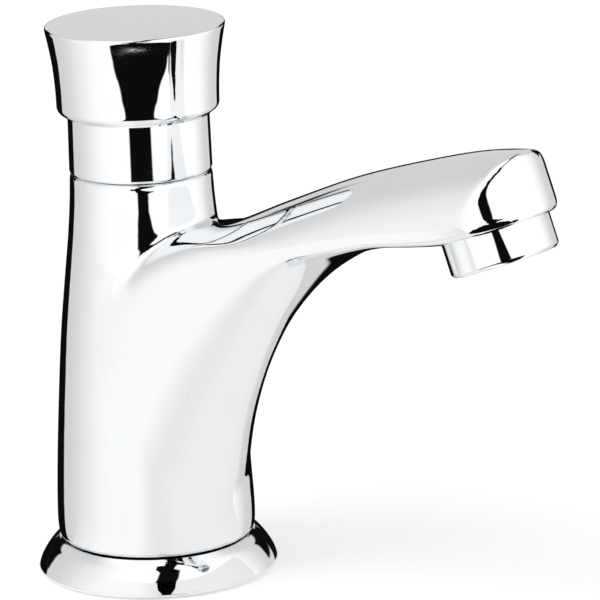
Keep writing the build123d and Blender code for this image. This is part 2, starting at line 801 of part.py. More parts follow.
with BuildPart() as collar_seal:
    with BuildSketch(Plane.XY.offset(neck_height)):
        Circle(collar_seal_outer_radius)
        Circle(collar_seal_inner_radius, mode=Mode.SUBTRACT)
    extrude(amount=collar_seal_thickness)
collar_seal.part.label = "collar_seal"
export_step(collar_seal.part, "parts/collar_seal.step")

# Button: a flared plated cap over a moulded core, held to the stem by a screw.
with BuildPart() as button_cap:
    with BuildSketch(Plane.XZ):
        with BuildLine():
            side = Spline(
                *[
                    (
                        button_foot_radius + radius * (button_top_radius - button_foot_radius),
                        button_foot + height * button_height,
                    )
                    for height, radius in button_shares
                ]
            )
            rim = RadiusArc(
                side @ 1,
                (button_top_radius - button_top_edge_radius, button_top),
                -button_top_edge_radius - running_clearance,
            )
            foot = RadiusArc(
                side @ 0, (button_foot_radius - button_edge_radius, button_foot), button_edge_radius
            )
            Polyline(
                rim @ 1,
                (0, button_top),
                (0, button_ceiling),
                (skirt_radius, button_ceiling),
                (skirt_radius, button_foot),
                foot @ 1,
            )
        make_face()
    revolve(axis=Axis.Z)
button_cap.part.label = "button_cap"
export_step(button_cap.part, "parts/button_cap.step")

with BuildPart() as button_core:
    with BuildSketch(Plane.XY.offset(core_disc_foot)):
        Circle(skirt_radius - running_clearance)
    extrude(amount=core_disc_thickness)
    with BuildSketch(Plane.XY.offset(core_foot)):
        Circle(core_hub_radius)
    extrude(amount=core_disc_foot - core_foot)
    with BuildSketch(Plane.XY.offset(core_foot)):
        Circle(stem_radius + running_clearance)
    extrude(amount=core_floor - core_foot, mode=Mode.SUBTRACT)
    with BuildSketch(Plane.XY.offset(core_floor)):
        Circle(screw_radius + loose_clearance)
    extrude(amount=core_floor_thickness, mode=Mode.SUBTRACT)
    with BuildSketch(Plane.XY.offset(core_disc_foot)):
        Circle(core_hub_radius - core_floor_thickness)
    extrude(amount=core_disc_thickness, mode=Mode.SUBTRACT)
button_core.part.label = "button_core"
export_step(button_core.part, "parts/button_core.step")

with BuildPart() as button_screw:
    with BuildSketch(Plane.XY.offset(core_disc_foot)):
        Circle(screw_head_radius)
    extrude(amount=screw_head_height)
    with BuildSketch(Plane.XY.offset(core_disc_foot)):
        Circle(screw_radius)
    extrude(amount=-screw_length)
    with BuildSketch(Plane.XY.offset(core_disc_foot + screw_head_height)):
        RegularPolygon(screw_key_flats / 2, 6, major_radius=False)
    extrude(amount=-screw_key_depth, mode=Mode.SUBTRACT)
button_screw.part.label = "button_screw"
export_step(button_screw.part, "parts/button_screw.step")

# Aerator: a ring screwed into the mouth, with its gasket, regulator, screens and insert.
aerator_foot = mouth.offset(-aerator_length)
housing_bore_radius = aerator_radius - aerator_wall
with BuildPart() as aerator_housing:
    with BuildSketch(aerator_foot):
        Circle(aerator_radius)
    extrude(amount=aerator_length + aerator_engagement)
    chamfer(
        aerator_housing.edges().filter_by(GeomType.CIRCLE).sort_by(Axis((0, 0, 0), mouth.z_dir))[0],
        length=aerator_bevel,
    )
    with BuildSketch(aerator_foot):
        Circle(housing_bore_radius - aerator_lip_width)
    extrude(amount=aerator_lip_height, mode=Mode.SUBTRACT)
    with BuildSketch(aerator_foot.offset(aerator_lip_height)):
        Circle(housing_bore_radius)
    extrude(amount=aerator_length + aerator_engagement, mode=Mode.SUBTRACT)
aerator_housing.part.label = "aerator_housing"
export_step(aerator_housing.part, "parts/aerator_housing.step")

insert_radius = housing_bore_radius - running_clearance
with BuildPart() as aerator_insert:
    with BuildSketch(aerator_foot.offset(aerator_lip_height)):
        Circle(insert_radius)
    extrude(amount=insert_height)
    with BuildSketch(aerator_foot.offset(aerator_lip_height + insert_plate_thickness)):
        Circle(insert_radius - insert_wall)
    extrude(amount=insert_height, mode=Mode.SUBTRACT)
    with BuildSketch(aerator_foot):
        for ring in range(jet_hole_rings):
            with PolarLocations(ring * jet_hole_spacing, max(6 * ring, 1)):
                Circle(jet_hole_radius)
    extrude(amount=aerator_lip_height + insert_plate_thickness, mode=Mode.SUBTRACT)
aerator_insert.part.label = "aerator_insert"
export_step(aerator_insert.part, "parts/aerator_insert.step")

# Two perforated screens lie inside the insert.
screen_radius = insert_radius - insert_wall - running_clearance
screen_foot = aerator_foot.offset(aerator_lip_height + insert_plate_thickness + screen_gap)
with BuildPart() as aerator_screens:
    for screen in range(screen_count):
        with BuildSketch(screen_foot.offset(screen * (screen_thickness + screen_gap))):
            Circle(screen_radius)
            for ring in range(jet_hole_rings + 1):
                with PolarLocations(ring * screen_hole_spacing, max(6 * ring, 1)):
                    Circle(screen_hole_radius, mode=Mode.SUBTRACT)
        extrude(amount=screen_thickness)
aerator_screens.part.label = "aerator_screens"
export_step(aerator_screens.part, "parts/aerator_screens.step")

# Flow regulator: a hub with slots round it, on top of the insert.
regulator_foot = aerator_foot.offset(aerator_lip_height + insert_height)
with BuildPart() as flow_regulator:
    with BuildSketch(regulator_foot):
        Circle(insert_radius)
    extrude(amount=regulator_height)
    with BuildSketch(regulator_foot):
        with PolarLocations((regulator_hub_radius + screen_radius) / 2, regulator_slot_count):
            Circle(regulator_slot_radius)
    extrude(amount=regulator_height, mode=Mode.SUBTRACT)
    with BuildSketch(regulator_foot.offset(regulator_height / 2)):
        Circle(screen_radius)
        Circle(regulator_hub_radius, mode=Mode.SUBTRACT)
    extrude(amount=regulator_height, mode=Mode.SUBTRACT)
flow_regulator.part.label = "flow_regulator"
export_step(flow_regulator.part, "parts/flow_regulator.step")

with BuildPart() as aerator_gasket:
    with BuildSketch(mouth.offset(aerator_engagement)):
        Circle(aerator_radius - running_clearance)
        Circle(aerator_radius - aerator_gasket_width, mode=Mode.SUBTRACT)
    extrude(amount=aerator_gasket_thickness)
aerator_gasket.part.label = "aerator_gasket"
export_step(aerator_gasket.part, "parts/aerator_gasket.step")
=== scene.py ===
import json
from math import atan2, cos, hypot, pi, radians, sin

import bmesh
import bpy
from bpy.props import FloatProperty, FloatVectorProperty, PointerProperty
from mathutils import Matrix, Vector


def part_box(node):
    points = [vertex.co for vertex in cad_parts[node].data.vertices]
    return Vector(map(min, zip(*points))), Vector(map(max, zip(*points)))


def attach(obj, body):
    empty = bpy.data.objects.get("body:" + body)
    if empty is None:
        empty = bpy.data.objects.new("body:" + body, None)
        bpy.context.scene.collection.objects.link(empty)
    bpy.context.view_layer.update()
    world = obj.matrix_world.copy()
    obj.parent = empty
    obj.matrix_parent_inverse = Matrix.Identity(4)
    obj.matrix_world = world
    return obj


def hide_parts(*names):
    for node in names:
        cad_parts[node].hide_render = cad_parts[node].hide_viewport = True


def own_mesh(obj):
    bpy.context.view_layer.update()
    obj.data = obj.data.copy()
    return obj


bl_info = {
    "name": "Push timed tap",
    "version": (1, 0, 0),
    "blender": (4, 5, 0),
    "location": "View3D > Sidebar > Tap",
    "description": "Casting, turned pieces, thread, spring, finishes and studio of a timed tap",
    "category": "Object",
}

mm = 0.001
weld_reach = 1e-6
tiny = 1e-7
crease_angle = 30

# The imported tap, and the places of its pieces that the new pieces follow.
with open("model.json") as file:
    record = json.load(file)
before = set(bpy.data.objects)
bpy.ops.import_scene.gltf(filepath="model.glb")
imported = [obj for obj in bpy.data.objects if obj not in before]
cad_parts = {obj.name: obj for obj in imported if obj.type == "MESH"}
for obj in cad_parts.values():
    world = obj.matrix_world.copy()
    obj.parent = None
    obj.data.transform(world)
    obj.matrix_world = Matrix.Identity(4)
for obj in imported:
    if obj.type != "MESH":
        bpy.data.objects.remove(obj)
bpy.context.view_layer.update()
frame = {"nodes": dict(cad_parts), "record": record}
nodes = frame["nodes"]
flange_low, flange_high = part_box("base_flange")
collar_low, collar_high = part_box("collar")
button_low, button_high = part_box("button_cap")
shank_low, shank_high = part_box("threaded_shank")
spring_low, spring_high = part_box("return_spring")
aerator_low, aerator_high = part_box("aerator_housing")


class TapSizes(bpy.types.PropertyGroup):
    """Sizes of the visible pieces, read from the frame where it has them."""

    column_radius: FloatProperty(
        name="Column radius", description="Radius of the column above its foot",
        default=22.5 * mm, unit="LENGTH")
    foot_height: FloatProperty(
        name="Foot height", description="Height of the column's foot on the foot ring",
        default=flange_high.z, unit="LENGTH")
    neck_height: FloatProperty(
        name="Neck height", description="Height of the neck under the collar",
        default=collar_low.z, unit="LENGTH")
    spout_reach: FloatProperty(
        name="Spout reach", description="From the column's axis to the middle of the mouth",
        default=95.7 * mm, unit="LENGTH")
    mouth_height: FloatProperty(
        name="Mouth height", description="Height of the mouth's middle above the deck",
        default=90.4 * mm, unit="LENGTH")
    mouth_tilt: FloatProperty(
        name="Mouth tilt", description="How far the mouth looks forward of straight down",
        default=radians(20), subtype="ANGLE")
    spout_half_width: FloatProperty(
        name="Spout half width", description="Half the width of spout and head",
        default=14.3 * mm, unit="LENGTH")
    aerator_radius: FloatProperty(
        name="Aerator radius", description="Radius of the ring in the mouth",
        default=(aerator_high.y - aerator_low.y) / 2, unit="LENGTH")
    thread_pitch: FloatProperty(
        name="Thread pitch", description="Pitch of the pipe thread on shank and backnut",
        default=25.4 / 14 * mm, unit="LENGTH")


class TapColours(bpy.types.PropertyGroup):
    """Base colours of the finishes."""

    chrome: FloatVectorProperty(
        name="Chrome", description="Mirror plate", size=3, subtype="COLOR",
        default=(0.86, 0.875, 0.89))
    brass: FloatVectorProperty(
        name="Brass", description="Machined brass", size=3, subtype="COLOR",
        default=(0.78, 0.60, 0.30))
    steel: FloatVectorProperty(
        name="Steel", description="Turned stainless steel", size=3, subtype="COLOR",
        default=(0.62, 0.62, 0.61))
    zinc: FloatVectorProperty(
        name="Zinc", description="Zinc plate on pressed steel", size=3, subtype="COLOR",
        default=(0.68, 0.69, 0.66))
    rubber: FloatVectorProperty(
        name="Rubber", description="Moulded rubber", size=3, subtype="COLOR",
        default=(0.022, 0.022, 0.024))
    white_moulding: FloatVectorProperty(
        name="White moulding", description="Natural moulded plastic", size=3, subtype="COLOR",
        default=(0.80, 0.80, 0.76))
    grey_moulding: FloatVectorProperty(
        name="Grey moulding", description="Grey moulded plastic", size=3, subtype="COLOR",
        default=(0.30, 0.32, 0.34))
    floor: FloatVectorProperty(
        name="Floor", description="The pale floor", size=3, subtype="COLOR",
        default=(0.90, 0.90, 0.90))


def profile_between(rows, count):
    """Points of a Catmull-Rom curve through rows of numbers, count steps between two rows."""
    points = []
    last = len(rows) - 1
    for index in range(last):
        before, start = rows[max(index - 1, 0)], rows[index]
        end, after = rows[index + 1], rows[min(index + 2, last)]
        for step in range(count):
            t = step / count
            points.append(tuple(
                0.5 * (2 * b + (c - a) * t + (2 * a - 5 * b + 4 * c - d) * t * t
                       + (3 * b - a - 3 * c + d) * t * t * t)
                for a, b, c, d in zip(before, start, end, after)))
    points.append(tuple(rows[-1]))
    return points


def arc(centre, radius, start, end, steps):
    """Points of an arc in the radius and height plane, angles in degrees."""
    return [
        (centre[0] + radius * cos(radians(start + (end - start) * step / steps)),
         centre[1] + radius * sin(radians(start + (end - start) * step / steps)))
        for step in range(steps + 1)]


def to_object(name, mesh_data, sharp_angle=crease_angle):
    """An object at the origin with outward faces, smooth apart from its sharp edges."""
    bmesh.ops.remove_doubles(mesh_data, verts=mesh_data.verts, dist=weld_reach)
    bmesh.ops.recalc_face_normals(mesh_data, faces=mesh_data.faces)
    mesh = bpy.data.meshes.new(name)
    mesh_data.to_mesh(mesh)
    mesh_data.free()
    mesh.shade_smooth()
    mesh.set_sharp_from_angle(angle=radians(sharp_angle))
    piece = bpy.data.objects.new(name, mesh)
    bpy.context.scene.collection.objects.link(piece)
    return piece


def turned_mesh(profile, segments):
    """A bmesh turned about Z from a closed or axis-to-axis profile of (radius, height)."""
    data = bmesh.new()
    verts = [data.verts.new((radius, 0, height)) for radius, height in profile]
    edges = [data.edges.new(pair) for pair in zip(verts, verts[1:])]
    if profile[0][0] > tiny:
        edges.append(data.edges.new((verts[-1], verts[0])))
    bmesh.ops.spin(
        data, geom=verts + edges, cent=(0, 0, 0), axis=(0, 0, 1), angle=2 * pi,
        steps=segments, use_merge=True)
    bmesh.ops.remove_doubles(data, verts=data.verts, dist=weld_reach)
    bmesh.ops.dissolve_degenerate(data, edges=data.edges, dist=tiny)
    return data


def new_verts(made):
    """The corners among what a mesh operator made."""
    return [item for item in made["geom"] if isinstance(item, bmesh.types.BMVert)]


# Column shares: height between foot and neck, then radius.
column_shares = (
    (0.0, 0.985), (0.04, 1.0), (0.12, 0.994), (0.25, 0.968), (0.41, 0.925),
    (0.57, 0.874), (0.72, 0.808), (0.83, 0.757), (0.93, 0.723), (1.0, 0.713),
)
# Spout section shares, from the column out to the mouth: under x, under z, top x, top z, widest.
# An x share runs from the column's face to the mouth, a z share from the deck to the mouth,
# and the widest share is how far from the under point the section is widest.
section_shares = (
    (-0.030, 0.133, -0.540, 0.133, 0.54), (0.005, 0.254, -0.533, 0.249, 0.58),
    (0.042, 0.376, -0.519, 0.365, 0.62), (0.090, 0.483, -0.499, 0.481, 0.66),
    (0.152, 0.591, -0.471, 0.603, 0.69), (0.235, 0.699, -0.410, 0.730, 0.69),
    (0.352, 0.803, -0.280, 0.835, 0.61), (0.478, 0.876, -0.130, 0.896, 0.50),
    (0.601, 0.920, 0.041, 0.925, 0.40), (0.710, 0.945, 0.266, 1.002, 0.32),
    (0.813, 0.956, 0.512, 1.082, 0.26), (0.922, 0.971, 0.758, 1.143, 0.22),
    (1.031, 1.000, 0.963, 1.184, 0.20), (1.168, 1.042, 1.127, 1.199, 0.20),
    (1.305, 1.084, 1.277, 1.204, 0.20),
)
blend_length_share = 0.63
web_inset = 0.08 * mm
flat_start_share = 0.1
flat_length_share = 0.55
flatness_share = 0.35
arch_share = 0.97
column_steps = 6
section_steps = 6
section_points = 96
column_segments = 128
bore_segments = 64
curve_steps = 8
thread_rows = 10
thread_segments = 72
thread_flank = 1.25
thread_depth_share = 0.64
thread_crease_angle = 42
spring_turns = 4.5
spring_segments = 36
wire_segments = 12
wire_crease_angle = 50
mesh_cell = 0.6 * mm
polish_passes = 10
seam_weld = 0.01 * mm
valley_passes = 40
valley_reach = 34 * mm
valley_foot, valley_top = 17 * mm, 71 * mm
valley_inside = 9 * mm
bore_crease_angle = 50
# Bores in millimetres, one above the other: radius, and the height where each ends. About the
# column's axis they are the shank's thread, the waterway, the space under the seat, and the
# cartridge with its outlet and its thread. Nothing of the column is left under foot_clearance.
# In the mouth the aerator's thread has a well behind it.
bore_start = -5
foot_clearance = 2.4
column_bores = ((10.55, 20), (7, 33.8), (9, 50), (12.5, 57), (14, 66), (12.5, 82), (13.2, 98))
mouth_thread_depth = 9
mouth_well = (9.3, 12.5)
mouth_clearance = 0.05 * mm


def mouth_frame(sizes):
    """The matrix of the mouth: its z axis points up into the spout, x towards the front."""
    tilt = Matrix.Rotation(-sizes.mouth_tilt, 4, "Y")
    return Matrix.Translation((sizes.spout_reach, 0, sizes.mouth_height)) @ tilt


def column_radius_at(sizes, z):
    """The column's radius at a height."""
    share = min(max((z - sizes.foot_height) / (sizes.neck_height - sizes.foot_height), 0), 1)
    for (low, low_radius), (high, high_radius) in zip(column_shares, column_shares[1:]):
        if share <= high:
            part = (share - low) / (high - low)
            return sizes.column_radius * (low_radius + (high_radius - low_radius) * part)


def section_ring(sizes, shares, points):
    """The corners of one spout section, flat underneath and arched on top."""
    length = sizes.spout_reach - sizes.column_radius
    under = Vector((sizes.column_radius + shares[0] * length, shares[1] * sizes.mouth_height))
    top = Vector((sizes.column_radius + shares[2] * length, shares[3] * sizes.mouth_height))
    depth = (top - under).length
    widest = shares[4] * depth
    flat = min(max((shares[0] - flat_start_share) / flat_length_share, 0), 1)
    ring = []
    for index in range(points):
        along = cos(2 * pi * index / points)
        across = sin(2 * pi * index / points)
        power = 1 - flatness_share * flat if along > 0 else arch_share
        reach = abs(along) ** power
        distance = widest * (1 - reach) if along > 0 else widest + (depth - widest) * reach
        place = under.lerp(top, distance / depth)
        part = 1 - min(max(place.x, 0) / (blend_length_share * length), 1)
        eased = part * part * (3 - 2 * part)
        half = sizes.spout_half_width
        half += (column_radius_at(sizes, place.y) - web_inset - half) * eased
        side = abs(across) ** power * (1 if across >= 0 else -1)
        ring.append(Vector((place.x, half * side, place.y)))
    return ring


def spout_mesh(sizes):
    """Web and spout: one ring of corners extruded from section to section."""
    rings = [section_ring(sizes, shares, section_points)
             for shares in profile_between(section_shares, section_steps)]
    data = bmesh.new()
    made = bmesh.ops.create_circle(data, cap_ends=True, radius=1, segments=section_points)
    ring = made["verts"]
    for vert, place in zip(ring, rings[0]):
        vert.co = place
    edges = data.edges[:]
    for places in rings[1:]:
        made = bmesh.ops.extrude_edge_only(data, edges=edges)
        corners = new_verts(made)
        edges = [item for item in made["geom"] if isinstance(item, bmesh.types.BMEdge)
                 and item.verts[0] in corners and item.verts[1] in corners]
        follow = {}
        for vert in corners:
            for edge in vert.link_edges:
                other = edge.other_vert(vert)
                if other in ring:
                    follow[vert] = ring.index(other)
        ring = sorted(corners, key=lambda vert: follow[vert])
        for vert, place in zip(ring, places):
            vert.co = place
    bmesh.ops.holes_fill(data, edges=edges, sides=0)
    return data


def boolean(target, tool, operation):
    """Cuts, joins or intersects one mesh object with another, which is then removed."""
    modifier = target.modifiers.new("boolean", "BOOLEAN")
    modifier.object = tool
    modifier.operation = operation
    modifier.solver = "EXACT"
    settle(target)
    bpy.data.objects.remove(tool)


def settle(piece):
    """Applies a piece's modifiers to its mesh."""
    graph = bpy.context.evaluated_depsgraph_get()
    mesh = bpy.data.meshes.new_from_object(piece.evaluated_get(graph))
    piece.modifiers.clear()
    piece.data = mesh


def column_profile(sizes):
    """The column's outside from the axis at its foot to the axis at its neck."""
    height = sizes.neck_height - sizes.foot_height
    side = [(radius * sizes.column_radius, sizes.foot_height + share * height)
            for share, radius in profile_between(column_shares, column_steps)]
    return [(0, sizes.foot_height)] + side + [(0, sizes.neck_height)]


def round_off(data, edges, width, segments):
    """Rounds some edges of a mesh."""
    bmesh.ops.bevel(
        data, geom=edges, offset=width, offset_type="OFFSET", segments=segments, profile=0.5,
        affect="EDGES", material=-1, clamp_overlap=False)


def head_tool(sizes):
    """The space that the head may fill: round in front, opening out towards the column."""
    radius = 14.6 * mm
    back = sizes.spout_reach + sizes.column_radius
    spread = 14 * mm
    rim, rim_steps = 1.6 * mm, 6
    setback = 0.3 * mm
    place = mouth_frame(sizes)
    outline = [(x - setback, y) for x, y in arc((0, 0), radius, -90, 90, steps=48)]
    outline += [(-back, radius + spread), (-back, -radius - spread)]
    data = bmesh.new()
    face = data.faces.new([data.verts.new((x, y, 0)) for x, y in outline])
    made = bmesh.ops.extrude_face_region(data, geom=[face])
    bmesh.ops.translate(data, verts=new_verts(made), vec=(0, 0, sizes.spout_reach))
    foot = [edge for edge in data.edges if all(abs(vert.co.z) < tiny for vert in edge.verts)]
    round_off(data, foot, rim, rim_steps)
    data.transform(place)
    tool = to_object("head_tool", data)
    data = bmesh.new()
    bmesh.ops.create_cube(data, size=1)
    bmesh.ops.scale(data, vec=(2 * back, 2 * back, 2 * sizes.spout_reach), verts=data.verts)
    bmesh.ops.translate(data, vec=(rim - back - radius - setback, 0, 0), verts=data.verts)
    data.transform(place)
    boolean(tool, to_object("head_back_tool", data), "UNION")
    return tool


def bores_mesh(bores):
    """A bmesh of bores one above the other, each a radius and the height where it ends."""
    low = bore_start * mm
    profile = [(0, low)]
    for radius, top in bores:
        profile += [(radius * mm, low), (radius * mm, top * mm)]
        low = top * mm
    return turned_mesh(profile + [(0, low)], bore_segments)


def bore_tool(sizes):
    """What is bored out of the casting about the column's axis."""
    clearance = (sizes.column_radius / mm, foot_clearance)
    return to_object("bore_tool", bores_mesh((clearance, *column_bores)))


def mouth_tool(sizes):
    """The thread's bore in the mouth and the well behind it."""
    thread = ((sizes.aerator_radius + mouth_clearance) / mm, mouth_thread_depth)
    data = bores_mesh((thread, mouth_well))
    data.transform(mouth_frame(sizes))
    return to_object("mouth_tool", data)


def polish(data, verts, passes):
    """Smooths some corners of a mesh, a little with each pass."""
    for _ in range(passes):
        bmesh.ops.smooth_vert(
            data, verts=verts, factor=0.5, use_axis_x=True, use_axis_y=True, use_axis_z=True)


def casting(sizes):
    """The tap's body: column, web, spout and head run together without a seam."""
    piece = to_object("body_casting", spout_mesh(sizes))
    boolean(piece, head_tool(sizes), "INTERSECT")
    column = to_object("column_tool", turned_mesh(column_profile(sizes), column_segments))
    boolean(piece, column, "UNION")
    modifier = piece.modifiers.new("skin", "REMESH")
    modifier.mode = "VOXEL"
    modifier.voxel_size = mesh_cell
    modifier.adaptivity = 0
    settle(piece)
    data = bmesh.new()
    data.from_mesh(piece.data)
    polish(data, data.verts, polish_passes)
    valley = [vert for vert in data.verts
              if 0 < vert.co.x < valley_reach and valley_foot < vert.co.z < valley_top
              and abs(vert.co.y) > valley_inside]
    polish(data, valley, valley_passes)
    data.to_mesh(piece.data)
    data.free()
    boolean(piece, bore_tool(sizes), "DIFFERENCE")
    boolean(piece, mouth_tool(sizes), "DIFFERENCE")
    data = bmesh.new()
    data.from_mesh(piece.data)
    # The cuts leave slivers along their edges. They are merged, so that the mesh stays closed.
    bmesh.ops.remove_doubles(data, verts=data.verts, dist=seam_weld)
    bmesh.ops.triangulate(data, faces=[face for face in data.faces if len(face.verts) > 4])
    bmesh.ops.dissolve_degenerate(data, edges=data.edges, dist=seam_weld)
    data.to_mesh(piece.data)
    data.free()
    piece.data.shade_smooth()
    piece.data.set_sharp_from_angle(angle=radians(bore_crease_angle))
    return piece


def foot_ring(sizes):
    """The flared ring under the column, hollow underneath for its gasket."""
    outer, top = flange_high.x, flange_high.z
    lift = flange_low.z
    edge, edge_start = 0.8 * mm, -6
    shares = ((0.0, 1.0), (0.34, 0.82), (0.65, 0.55), (0.87, 0.30), (0.98, 0.10))
    bore, flare_top = 19.6 * mm, 22.3 * mm
    gasket_inner, gasket_outer, gasket_top = 20.5 * mm, 25.5 * mm, 1.6 * mm
    flare = [(flare_top + r * (outer - flare_top), lift + h * (top - lift))
             for r, h in profile_between(shares, curve_steps)]
    lip = arc((outer - edge, lift + edge), edge, edge_start, -90, curve_steps)
    profile = [(bore, top)] + flare + lip
    profile += [(gasket_outer, lift), (gasket_outer, gasket_top), (gasket_inner, gasket_top),
                (gasket_inner, lift), (bore, lift)]
    return to_object("foot_ring_skin", turned_mesh(profile, column_segments))


def collar_skin(sizes):
    """The plated sleeve between neck and button, its edges rounded."""
    foot, top = collar_low.z, collar_high.z
    outer, upper = 16.05 * mm, 15.8 * mm
    bore = 12.47 * mm
    seal_inner, seal_outer, seal_top = 13.65 * mm, 15.0 * mm, foot + 0.8 * mm
    edge, top_edge = 0.55 * mm, 0.3 * mm
    # Rings close to the edges keep the shading of the side between them straight.
    hold = 0.15 * mm
    profile = arc((outer - edge, foot + edge), edge, -90, 0, curve_steps)
    profile += [(outer, foot + edge + hold), (upper, top - top_edge - hold)]
    profile += arc((upper - top_edge, top - top_edge), top_edge, 0, 90, curve_steps)
    profile += [(bore, top), (bore, foot), (seal_inner, foot), (seal_inner, seal_top),
                (seal_outer, seal_top), (seal_outer, foot)]
    return to_object("collar_skin", turned_mesh(profile, column_segments))


def button_skin(sizes):
    """The flared cap of the button: rounded foot, crisp top edge, hollow inside."""
    foot, top = button_low.z, button_high.z
    height = top - foot
    foot_radius, top_radius = 18.2 * mm, 20.15 * mm
    shares = ((0.10, 0.0), (0.30, 0.06), (0.55, 0.26), (0.78, 0.62), (0.965, 0.99))
    edge, top_edge, top_edge_start = 1.6 * mm, 0.55 * mm, 10
    bore = 16.5 * mm
    ceiling = top - 2.4 * mm
    side = [(foot_radius + r * (top_radius - foot_radius), foot + h * height)
            for h, r in profile_between(shares, curve_steps)]
    rounding = arc((foot_radius - edge, side[0][1]), edge, -90, 0, curve_steps)
    rounding[0] = (rounding[0][0], foot)
    profile = [(0, ceiling), (bore, ceiling), (bore, foot)]
    profile += [(r, max(z, foot)) for r, z in rounding] + side[1:]
    profile += arc((side[-1][0] - top_edge, top - top_edge), top_edge, top_edge_start, 90,
                   curve_steps)
    profile += [(0, top)]
    return to_object("button_skin", turned_mesh(profile, column_segments))


def aerator_skin(sizes):
    """The aerator's ring with its bevelled foot, bored through."""
    radius = sizes.aerator_radius
    length, engagement = 7.4 * mm, 8 * mm
    bevel, wall = 0.8 * mm, 1.4 * mm
    rounding, rounding_steps = 0.15 * mm, 3
    lip, lip_width = 1 * mm, 1.2 * mm
    bore = radius - wall
    profile = [
        (bore - lip_width, -length), (radius - bevel, -length), (radius, bevel - length),
        (radius, engagement), (bore, engagement), (bore, lip - length),
        (bore - lip_width, lip - length)]
    data = turned_mesh(profile, column_segments)
    foot = [edge for edge in data.edges
            if all(vert.co.z < bevel - length + weld_reach
                   and abs(hypot(vert.co.x, vert.co.y) - radius) < bevel + weld_reach
                   for vert in edge.verts)
            and abs(edge.verts[0].co.z - edge.verts[1].co.z) < tiny]
    round_off(data, foot, rounding, rounding_steps)
    data.transform(mouth_frame(sizes))
    return to_object("aerator_ring_skin", data)


def threaded(data, sizes, radius, low, high):
    """Runs a thread round the outside of a turned mesh, fading in and out at its two ends."""
    pitch = sizes.thread_pitch
    for vert in data.verts:
        if abs(hypot(vert.co.x, vert.co.y) - radius) > weld_reach or not low < vert.co.z < high:
            continue
        turn = atan2(vert.co.y, vert.co.x) / (2 * pi)
        phase = (vert.co.z / pitch - turn) % 1
        groove = thread_depth_share * pitch * max(1 - abs(2 * phase - 1) * thread_flank, 0)
        fade = min((vert.co.z - low) / pitch, (high - vert.co.z) / pitch, 1)
        share = 1 - groove * fade / radius
        vert.co.x *= share
        vert.co.y *= share


def shank_skin(sizes):
    """The shank: its thread outside, its bore and the strainer's seat inside."""
    low, high = shank_low.z, shank_high.z
    radius = (shank_high.x - shank_low.x) / 2
    chamfer, bore = 1.2 * mm, 7 * mm
    seat, seat_depth = 8 * mm, 1.1 * mm
    groove_foot, groove_top, groove = high - 4 * mm, high - 2 * mm, 8.6 * mm
    run_out = 1 * mm
    count = round((groove_foot - low - chamfer) / sizes.thread_pitch * thread_rows)
    wall = [(radius, low + chamfer + (groove_foot - low - chamfer) * row / count)
            for row in range(count + 1)]
    profile = [(seat, low), (radius - chamfer, low)] + wall
    profile += [(groove, groove_foot), (groove, groove_top), (radius, groove_top),
                (radius, high), (bore, high), (bore, low + seat_depth), (seat, low + seat_depth)]
    data = turned_mesh(profile, thread_segments)
    threaded(data, sizes, radius, low + chamfer / 2, groove_foot - run_out)
    return to_object("shank_skin", data, thread_crease_angle)


def spring_coil():
    """The coil that lifts the plunger: its round wire is swept up a helix."""
    wire = 0.6 * mm
    rise = spring_high.z - spring_low.z - 2 * wire
    steps = round(spring_turns * spring_segments)
    start = Matrix.Translation((spring_high.x - wire, 0, spring_low.z + wire))
    data = bmesh.new()
    bmesh.ops.create_circle(
        data, radius=wire, segments=wire_segments, matrix=start @ Matrix.Rotation(pi / 2, 4, "X"))
    bmesh.ops.spin(
        data, geom=data.verts[:] + data.edges[:], cent=(0, 0, 0), axis=(0, 0, 1),
        dvec=(0, 0, rise / steps), angle=2 * pi * spring_turns, steps=steps)
    bmesh.ops.holes_fill(data, edges=[edge for edge in data.edges if edge.is_boundary])
    return to_object("return_spring_coil", data, wire_crease_angle)


def principled(name, slot_name, metallic, roughness, colour):
    """A material with its Principled shader, for one of the record's slots."""
    material = bpy.data.materials.new(name)
    material.use_nodes = True
    shader = material.node_tree.nodes["Principled BSDF"]
    shader.inputs["Metallic"].default_value = metallic
    shader.inputs["Roughness"].default_value = roughness
    shader.inputs["Base Color"].default_value = (*colour, 1)
    material["slot"] = slot_name
    return material, shader


def new_group(name, inputs, outputs):
    """An empty shader node group with named sockets."""
    group = bpy.data.node_groups.new(name, "ShaderNodeTree")
    for label, kind, default in inputs:
        socket = group.interface.new_socket(label, in_out="INPUT", socket_type=kind)
        socket.default_value = default
    for label, kind in outputs:
        group.interface.new_socket(label, in_out="OUTPUT", socket_type=kind)
    start = group.nodes.new("NodeGroupInput")
    end = group.nodes.new("NodeGroupOutput")
    return group, start, end


def link(tree, start, end):
    """Joins an output socket to an input socket."""
    tree.links.new(start, end)


def feed(tree, value, socket):
    """Gives an input socket a number, or a link from an output socket."""
    if isinstance(value, (int, float)):
        socket.default_value = value
    else:
        link(tree, value, socket)


def math_node(tree, operation, *values):
    """A Math node fed by numbers or sockets. Returns its output."""
    node = tree.nodes.new("ShaderNodeMath")
    node.operation = operation
    for value, socket in zip(values, node.inputs):
        feed(tree, value, socket)
    return node.outputs["Value"]


def between(tree, value, low, high, start=0.0, end=1.0, course="SMOOTHSTEP"):
    """A step of a value between two edges, smooth unless its course is another."""
    node = tree.nodes.new("ShaderNodeMapRange")
    node.interpolation_type = course
    settings = {"From Min": low, "From Max": high, "To Min": start, "To Max": end}
    for label, setting in settings.items():
        feed(tree, setting, node.inputs[label])
    link(tree, value, node.inputs["Value"])
    return node.outputs["Result"]


def noise(tree, coordinates, scale, detail):
    """A noise pattern's value."""
    node = tree.nodes.new("ShaderNodeTexNoise")
    feed(tree, detail, node.inputs["Detail"])
    feed(tree, scale, node.inputs["Scale"])
    link(tree, coordinates, node.inputs["Vector"])
    return node.outputs[0]


